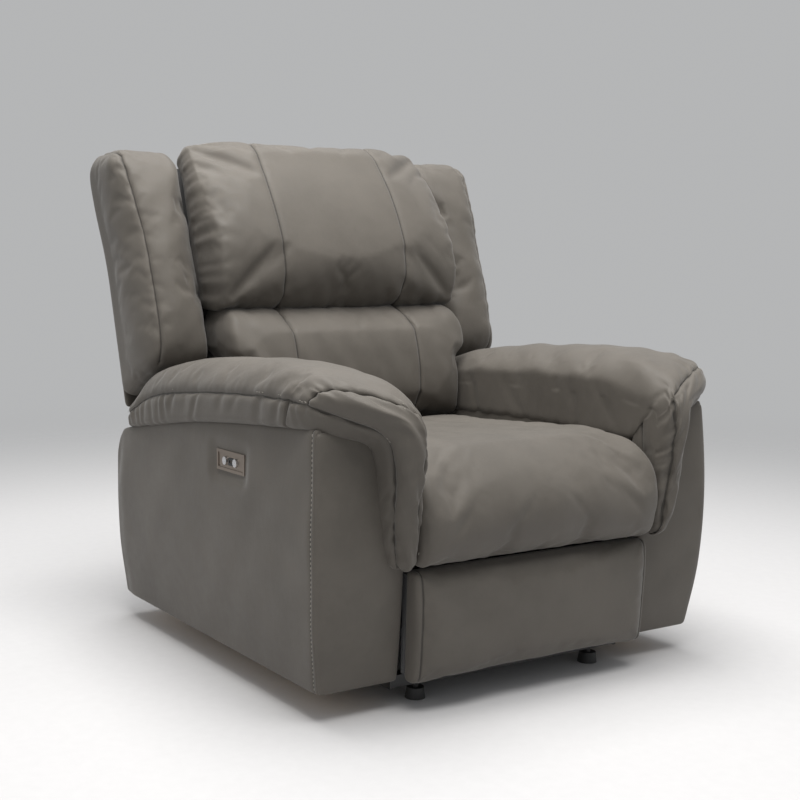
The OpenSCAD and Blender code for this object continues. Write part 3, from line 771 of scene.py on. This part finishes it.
def makeArmPads():
    # a rounded box bent along the rows: across goes from the inside edge to the outside edge, and depth from
    # path to path
    look = armPadLook
    w, t = look["wide"], look["thick"]
    length = np.linalg.norm(np.diff(armRows[:, :2], axis=0), axis=1).sum()
    cross, tongue, welt = look["crossSeam"], look["tongueSeam"], look["welt"]
    size = (w, length, t)
    p, quads = boxSkin(size, look["cell"], ((tongue,), (cross,), (welt,)))
    radius = np.column_stack([np.where(p[:, 0] > 0, 0.046, 0.060), np.where(p[:, 1] > 0, 0.024, 0.030),
                              np.where(p[:, 2] > 0, 0.049, 0.010)])
    q = roundOff(p, size, radius)
    b = q[:, 1] + bump(q[:, 1], cross, 0.13) * look["crossSlant"] * (0.35 - (q[:, 0] / w + 0.5))
    s, c = q[:, 0] / w + 0.5, q[:, 2] / t + 0.5
    row = alongCurve(armRows, b / length + 0.5)
    top = ramp(b, 0.36, 0.22)
    hang = ramp(s, 0.45, 0.0) * top * (row[:, 3] - look["hang"])
    inner = np.column_stack([row[:, 2], row[:, 3] - hang])
    yz = inner * (1 - c)[:, None] + row[:, :2] * c[:, None]
    flare = look["flare"] * (1 - c) * ramp(b, 0.20, 0.30)
    start = np.column_stack([row[:, 4] + s * (row[:, 5] - row[:, 4] + flare), yz])
    quads = outward(start, quads)
    outerWall, innerWall = p[:, 0] > w / 2 - near, p[:, 0] < -w / 2 + near
    ends = np.abs(p[:, 1]) > length / 2 - near
    skirt = outerWall | ends
    pinned = (p[:, 2] < -t / 2 + near) | (skirt & (p[:, 2] < welt + near))
    start = relax("arm pad", start, quads, pinned, look)
    start[:, 0] = np.clip(start[:, 0], look["inner"] - 0.0005, 0.4935)
    across = p[:, 0] - np.where(innerWall, t / 2 - p[:, 2], 0) + np.where(outerWall, t / 2 - p[:, 2], 0)
    shrink = (row[:, 5] - row[:, 4]) / w
    toWelt = np.where(skirt, np.abs(p[:, 2] - welt), (w / 2 - p[:, 0]) * shrink + t / 2 - welt)
    toWelt = np.where(p[:, 2] < -t / 2 + near, farAway, toWelt)
    byCross, byTongue = np.abs(p[:, 1] - cross), np.abs(across - tongue) * shrink
    panel = (p[:, 2] > welt - near)
    toCross = np.where(across >= tongue, byCross, np.hypot(byCross, byTongue))
    toTongue = np.where(p[:, 1] >= cross, byTongue, np.hypot(byCross, byTongue))
    toJoint = np.where(outerWall & ~panel, np.abs(p[:, 1] - look["jointSeam"]), farAway)
    distance = np.minimum(toWelt, toJoint)
    distance = np.minimum(distance, np.where(panel | innerWall, np.minimum(toCross, toTongue), farAway))
    drop = np.where(outerWall, welt - p[:, 2], 0)
    for sign, seed, name in ((-1, 51, "left"), (1, 71, "right")):
        verts = start * (sign, 1, 1)
        facing = outward(verts, quads)
        n = meshNormals(verts, facing)
        front, rear = length / 2, -length / 2
        wave = look["wave"] * ripple(p[:, 1] + 0.8 * across, seed, 0.12) * panel
        fromCross = p[:, 1] - cross
        for side, gathers in ((-1, look["behindCross"]), (1, look["beforeCross"])):
            wave += (creases(across, fromCross * side, seed + 2 + side, -0.10, 0.13, *gathers)
                     * (fromCross * side > -0.004) * panel)
        down = np.where(fromCross > 0, byTongue, 9)
        wave += creases(p[:, 1], down, seed + 4, cross, front, *look["tongue"]) * panel
        wave += creases(p[:, 1], toWelt, seed + 5, cross - 0.03, front, *look["frontWelt"]) * panel
        wave += creases(p[:, 1], toWelt, seed + 6, rear, cross, *look["rearWelt"]) * panel
        below = np.where(outerWall & (drop > 0), drop, 9)
        wave += creases(p[:, 1], below, seed + 7, rear + 0.02, rear + 0.30, *look["rearPleats"])
        wave += creases(p[:, 1], below, seed + 8, rear + 0.30, front - 0.40, *look["middlePleats"])
        wave += creases(p[:, 1], below, seed + 9, 0.20, front, *look["frontPleats"])
        foot = np.where(innerWall, p[:, 2] + t / 2, 9)
        wave += creases(p[:, 1], foot, seed + 10, -0.30, 0.24, *look["insideFolds"])
        verts += n * wave[:, None]
        verts[:, 0] = sign * np.clip(verts[:, 0] * sign, look["inner"] - 0.0005, 0.4960)
        verts = pushSeam(verts, facing, distance, look["seamDepth"], look["seamWidth"])
        makePiece(name + "ArmPad", verts, facing, "base", ["arm_pad_" + name], distance)
        n = meshNormals(verts, facing)
        onWelt = outerWall & (np.abs(p[:, 2] - welt) < near)
        line, normal = seamLine(verts, n, onWelt, p[:, 1])
        stitch("base", line, normal, -sign * 0.0060)
        keep = (line[:, 2] < 0.545) & (line[:, 1] < -0.3)  # a second row, down the front only
        stitch("base", line[keep], normal[keep], sign * 0.0055)
        face = p[:, 2] > t / 2 - near
        onCross = face & (np.abs(p[:, 1] - cross) < near) & (p[:, 0] >= tongue - near)
        line, normal = seamLine(verts, n, onCross, -p[:, 0])
        stitch("base", line, normal, sign * 0.0058)
        onTongue = face & (np.abs(p[:, 0] - tongue) < near) & (p[:, 1] >= cross)
        line, normal = seamLine(verts, n, onTongue, p[:, 1])
        stitch("base", line, normal, -sign * 0.0055)


# sections down the seat, from the rear over the crown and down the front: skin y z, base y z
seatRows = np.array([
    (0.170, 0.446, 0.184, 0.348), (0.100, 0.455, 0.100, 0.346), (-0.100, 0.467, -0.080, 0.346),
    (-0.280, 0.475, -0.240, 0.346), (-0.400, 0.477, -0.360, 0.346), (-0.466, 0.464, -0.412, 0.345),
    (-0.505, 0.433, -0.437, 0.342), (-0.524, 0.385, -0.449, 0.334), (-0.527, 0.335, -0.454, 0.318),
    (-0.517, 0.294, -0.457, 0.296), (-0.500, 0.277, -0.462, 0.280)])
seatLook = {"half": 0.2895, "thick": 0.11, "cell": 0.0085, "pressure": 3.0, "slack": 0.015, "limit": 0.012,
            "longWave": 0.0025, "crossWave": 0.0018, "widest": 0.2905, "swell": 0.022,
            "sideCreases": (0.10, 0.09, 0.016, 0.004),
            "frontCreases": (0.09, 0.05, 0.012, 0.002)}


def makeSeat():
    look = seatLook
    w, t = 2 * look["half"], look["thick"]
    length = np.linalg.norm(np.diff(seatRows[:, :2], axis=0), axis=1).sum()
    size = (w, length, t)
    p, quads = boxSkin(size, look["cell"])
    radius = np.column_stack([np.full(len(p), 0.030), np.where(p[:, 1] > 0, 0.022, 0.040),
                              np.where(p[:, 2] > 0, 0.040, 0.012)])
    q = roundOff(p, size, radius)
    c = q[:, 2] / t + 0.5
    row = alongCurve(seatRows, q[:, 1] / length + 0.5)
    start = np.column_stack([q[:, 0], row[:, 2:4] * (1 - c)[:, None] + row[:, :2] * c[:, None]])
    quads = outward(start, quads)
    pinned = (c < 0.5) | (np.abs(p[:, 0]) > w / 2 - near)
    verts = relax("seat", start, quads, pinned, look)
    n = meshNormals(verts, quads)
    top = ramp(c, 0.3, 0.8)
    edge = look["half"] - np.abs(p[:, 0])
    wave = look["longWave"] * ripple(p[:, 1] + 0.5 * p[:, 0], 91, 0.19)
    wave = wave + look["crossWave"] * ripple(p[:, 0] - 0.3 * p[:, 1], 92, 0.15)
    wave += creases(p[:, 1], edge, 93, -length / 2, length / 2 - 0.2, *look["sideCreases"])
    wave += creases(p[:, 0], length / 2 - p[:, 1], 94, -w / 2, w / 2, *look["frontCreases"])
    verts += n * (wave * top)[:, None]
    swell = 1 + look["swell"] * ramp(verts[:, 1], -0.44, -0.49) * bump(verts[:, 2], 0.385, 0.07)
    verts[:, 0] = np.clip(verts[:, 0], -look["widest"], look["widest"]) * swell
    makePiece("seatCushion", verts, quads, "carriage", ["seat_cushion"], np.full(len(p), farAway))


footLook = {"half": 0.2885, "low": 0.056, "high": 0.2725, "near": -0.4605, "far": -0.507, "cell": 0.0080,
            "seam": 0.277, "pressure": 2.5, "slack": 0.01, "limit": 0.006, "seamDepth": 0.0022, "seamWidth": 0.0045,
            "wave": 0.0022, "creases": (0.05, 0.05, 0.009, 0.002)}


def makeFootrestPad():
    look = footLook
    size = (2 * look["half"], look["near"] - look["far"], look["high"] - look["low"])
    p, quads = boxSkin(size, look["cell"], ((-look["seam"], look["seam"]), (), ()))
    radius = np.column_stack([np.full(len(p), 0.010), np.where(p[:, 1] < 0, 0.020, 0.004), np.full(len(p), 0.015)])
    q = roundOff(p, size, radius)
    s, u = 0.5 - q[:, 1] / size[1], q[:, 2] / size[2]
    crown = 0.007 * (2 * np.abs(u)) ** 2.5 + 0.004 * (np.abs(q[:, 0]) / look["half"]) ** 6
    verts = np.column_stack([q[:, 0], look["near"] + s * (look["far"] - look["near"] + crown),
                             (look["low"] + look["high"]) / 2 + q[:, 2]])
    quads = outward(verts, quads)
    verts = relax("footrest pad", verts, quads, (s < 0.5) | (np.abs(p[:, 0]) >= look["seam"] - near), look)
    n = meshNormals(verts, quads)
    front = ramp(s, 0.4, 0.9)
    wave = look["wave"] * ripple(p[:, 0] + 0.8 * p[:, 2], 95, 0.16) * front
    edge = look["seam"] - np.abs(p[:, 0])
    wave += creases(p[:, 2], edge, 96, -0.1, 0.1, *look["creases"]) * (edge > 0) * front
    verts += n * wave[:, None]
    distance = np.where(s > 0.3, np.abs(np.abs(p[:, 0]) - look["seam"]), farAway)
    verts = pushSeam(verts, quads, distance, look["seamDepth"], look["seamWidth"])
    makePiece("footrestPad", verts, quads, "footrest", ["footrest_pad"], distance)


panelSeam = {"depth": 0.0020, "width": 0.0045}


def makePanel(name, body, replaced, u, v, thick, place, cell=0.012, radius=0.007, seams=((), ()), seed=1,
              swell=0.0025, rough=0.0012, rows=()):
    # a thin rounded box whose place(u, v, h) says where it goes, with h from 0 at the board to 1 at the skin
    size = (u[1] - u[0], v[1] - v[0], thick)
    middle = np.array([(u[0] + u[1]) / 2, (v[0] + v[1]) / 2, 0])
    local = [tuple(s - m for s in line) for line, m in zip(seams, middle)]
    p, quads = latticeShell(*(ruler(-n / 2, n / 2, cell if n > 0.05 else 0.006, s)
                              for n, s in zip(size, (*local, ()))))
    q = roundOff(p, size, (radius, radius, min(radius, thick * 0.45)))
    at = q + middle
    h = q[:, 2] / thick + 0.5
    fill = np.cos(np.pi * q[:, 0] / size[0]) * np.cos(np.pi * q[:, 1] / size[1])
    puff = swell * np.maximum(fill, 0) ** 0.5 + rough * ripple(at[:, 0] + 0.6 * at[:, 1], seed, 0.13)
    puff += rough * ripple(at[:, 1] - 0.4 * at[:, 0], seed + 1, 0.17)
    verts = np.asarray(place(at[:, 0], at[:, 1], h))
    quads = outward(verts, quads)
    edge = np.minimum(size[0] / 2 - np.abs(p[:, 0]), size[1] / 2 - np.abs(p[:, 1]))
    n = meshNormals(verts, quads)
    verts = verts + n * (puff * ramp(h, 0.3, 0.9) * ramp(edge, 0, 0.02))[:, None]
    distance = np.full(len(p), farAway)
    for axis, row in enumerate(seams):
        for s in row:
            distance = np.minimum(distance, np.where(h > 0.4, np.abs(p[:, axis] + middle[axis] - s), farAway))
    verts = pushSeam(verts, quads, distance, panelSeam["depth"], panelSeam["width"])
    makePiece(name, verts, quads, body, replaced, distance)
    n = meshNormals(verts, quads)
    skin = p[:, 2] > thick / 2 - near
    for axis, s, aside in rows:
        chosen = skin & (np.abs(p[:, axis] + middle[axis] - s) < near)
        line, normal = seamLine(verts, n, chosen, p[:, 1 - axis])
        stitch(body, line, normal, aside, look=cornerThread)


cornerThread = {"pitch": 0.0086, "length": 0.0058, "radius": 0.00085, "lift": 0.0004}
panelLook = {"board": 0.453, "plane": 0.475, "corner": -0.4450, "stitchRow": -0.4355, "frontSwell": 0.018,
             "rear": 0.4215}
# where the control plate lies on the left side panel, and how far round it the skin is pulled flat
plate = {"y": (-0.198, -0.085), "z": (0.4215, 0.4625), "flat": 0.4752, "blend": 0.030}


def makeArmPanels():
    look = panelLook
    for sign, seed, name in ((-1, 101, "left"), (1, 111, "right")):
        def sidePlace(y, z, h):
            top = armTop(y) + 0.004
            zz = armLook["bottom"] + (z - armLook["bottom"]) / 0.48 * (top - armLook["bottom"])
            out = look["plane"] + bulge(zz)
            rearEnd = ramp(y, 0.36, 0.42)
            out = out - 0.008 * rearEnd
            if sign < 0:
                gapY = np.maximum(plate["y"][0] - y, y - plate["y"][1])
                gapZ = np.maximum(plate["z"][0] - zz, zz - plate["z"][1])
                away = np.hypot(np.maximum(gapY, 0), np.maximum(gapZ, 0))
                out = plate["flat"] + (out - plate["flat"]) * ramp(away, 0.002, plate["blend"])
            return np.column_stack([sign * (look["board"] + h * (out - look["board"])),
                                    y - frontBulge(zz) * ramp(y, -0.28, -0.44), zz])

        makePanel(name + "SidePanel", "base", ["side_panel_" + name], (look["corner"], look["rear"]),
                  (0.055, 0.535), 0.03, sidePlace, cell=0.010, radius=0.007, seams=((look["stitchRow"],), ()),
                  seed=seed, swell=0.0, rows=((0, look["stitchRow"], 0.0),))

        def frontPlace(x, z, h):
            wide = 0.475 + bulge(z) - 0.003
            xx = armLook["inner"] + (x - armLook["inner"]) / 0.181 * (wide - armLook["inner"])
            return np.column_stack([sign * xx, -0.4290 - h * (0.0220 + frontBulge(z)), z])

        makePanel(name + "FrontPanel", "base", ["front_panel_" + name], (armLook["inner"], 0.475), (0.055, 0.533),
                  0.0255, frontPlace, cell=0.010, radius=0.006, seed=seed + 3, swell=0.001)

        def innerPlace(y, z, h):
            top = armTop(y) - 0.002
            zz = 0.066 + (z - 0.066) / 0.46 * (top - 0.066)
            return np.column_stack([sign * (0.3080 - h * 0.0125), y, zz])

        makePanel(name + "InnerPanel", "base", ["inner_panel_" + name], (-0.4235, 0.4035), (0.066, 0.526), 0.0125,
                  innerPlace, cell=0.014, seed=seed + 5, swell=0.0, rough=0.0005)

        def rearPlace(x, z, h):
            return np.column_stack([sign * x, 0.4052 + h * 0.0138, z])

        makePanel(name + "RearPanel", "base", ["rear_panel_" + name], (0.2965, 0.4520), (0.060, 0.378), 0.0138,
                  rearPlace, cell=0.012, seed=seed + 7, swell=0.0015)


rearLook = {"slope": 0.2718, "y": 0.530, "z": 1.007, "thick": 0.012, "wide": 0.471, "narrow": 0.277, "split": 0.496,
            "seam": 0.225, "rollFrom": 1.000, "bend": 0.034}


def makeRearCover():
    look = rearLook

    def plane(z):
        return look["y"] - look["slope"] * (look["z"] - z)

    def upper(x, v, h):
        # the skin follows the rake of the back, then rolls forward over the top edge
        bend = look["bend"]
        flat = np.minimum(v, look["rollFrom"])
        turn = np.minimum(np.maximum(v - look["rollFrom"], 0) / bend, 1.5)
        z = flat + bend * np.sin(turn)
        y = plane(flat) - bend * (1 - np.cos(turn))
        edge = ramp(np.abs(x), look["wide"] - 0.035, look["wide"])
        return np.column_stack([x, y - 0.0002 - (1 - h) * look["thick"] - 0.006 * edge, z])

    makePanel("rearCover", "back", ["rear_cover"], (-look["wide"], look["wide"]), (look["split"], 1.046),
              look["thick"], upper, cell=0.012, radius=0.006, seams=((-look["seam"], look["seam"]), (0.985,)),
              seed=121, swell=0.003, rough=0.0016,
              rows=((0, -look["seam"], 0.006), (0, look["seam"], 0.006), (1, 0.985, 0.006)))

    def lower(x, z, h):
        return np.column_stack([x, plane(z) - 0.0002 - (1 - h) * look["thick"], z])

    makePanel("rearSkirt", "back", [], (-look["narrow"], look["narrow"]), (0.119, look["split"] + 0.004),
              look["thick"], lower, cell=0.014, radius=0.006, seams=((), (0.140,)), seed=131, swell=0.002,
              rows=((1, 0.140, 0.0),))


makeHeadrest()
makeLumbar()
makeWings()
print("back cushions made")
makeArmPads()
print("arm pads made")
makeSeat()
makeFootrestPad()
makeArmPanels()
makeRearCover()
print("seat, footrest and panels made")

sewThreads()
print("stitches sewn")


# finishes on the frame

def dress(names, finish):
    for name in names:
        if name in nodes:
            obj = nodes[name]
            obj.data.materials.clear()
            obj.data.materials.append(finish)




def both(*names):
    return [n + s for n in names for s in ("_left", "_right")]


dress(both("base_rail", "mech_plate", "back_bracket", "main_link", "front_link", "lift_link", "footrest_bracket")
      + ["front_cross_tube", "rear_cross_tube", "carriage_cross_front", "carriage_cross_rear", "drive_track",
         "torque_tube"], steelFinish())
dress(both("guide_link") + ["seat_springs"], zincFinish())
dress(both("arm_frame") + ["seat_frame"], timberFinish())
dress(both("foot_front", "foot_rear") + ["usb_socket", "power_inlet", "drive_motor"],
      plasticFinish("blackPlastic", (0.012, 0.012, 0.012), 0.5))
dress(["drive_nut"], plasticFinish("nylon", (0.62, 0.61, 0.57), 0.42))
dress(["seat_deck", "back_webbing", "back_frame", "footrest_board", "back_core"],
      wovenFinish("deckCloth", (0.02, 0.02, 0.021), (0.06, 0.06, 0.062), 0.0016))
dress(["control_bezel"], bronzeFinish())
dress(["button_front", "button_rear"], silverFinish())
dress(both("side_panel", "front_panel", "inner_panel", "rear_panel", "arm_pad", "wing")
      + ["seat_cushion", "rear_cover", "headrest_pillow", "lumbar_pillow", "footrest_pad"], hideFinish())
print("finishes on")
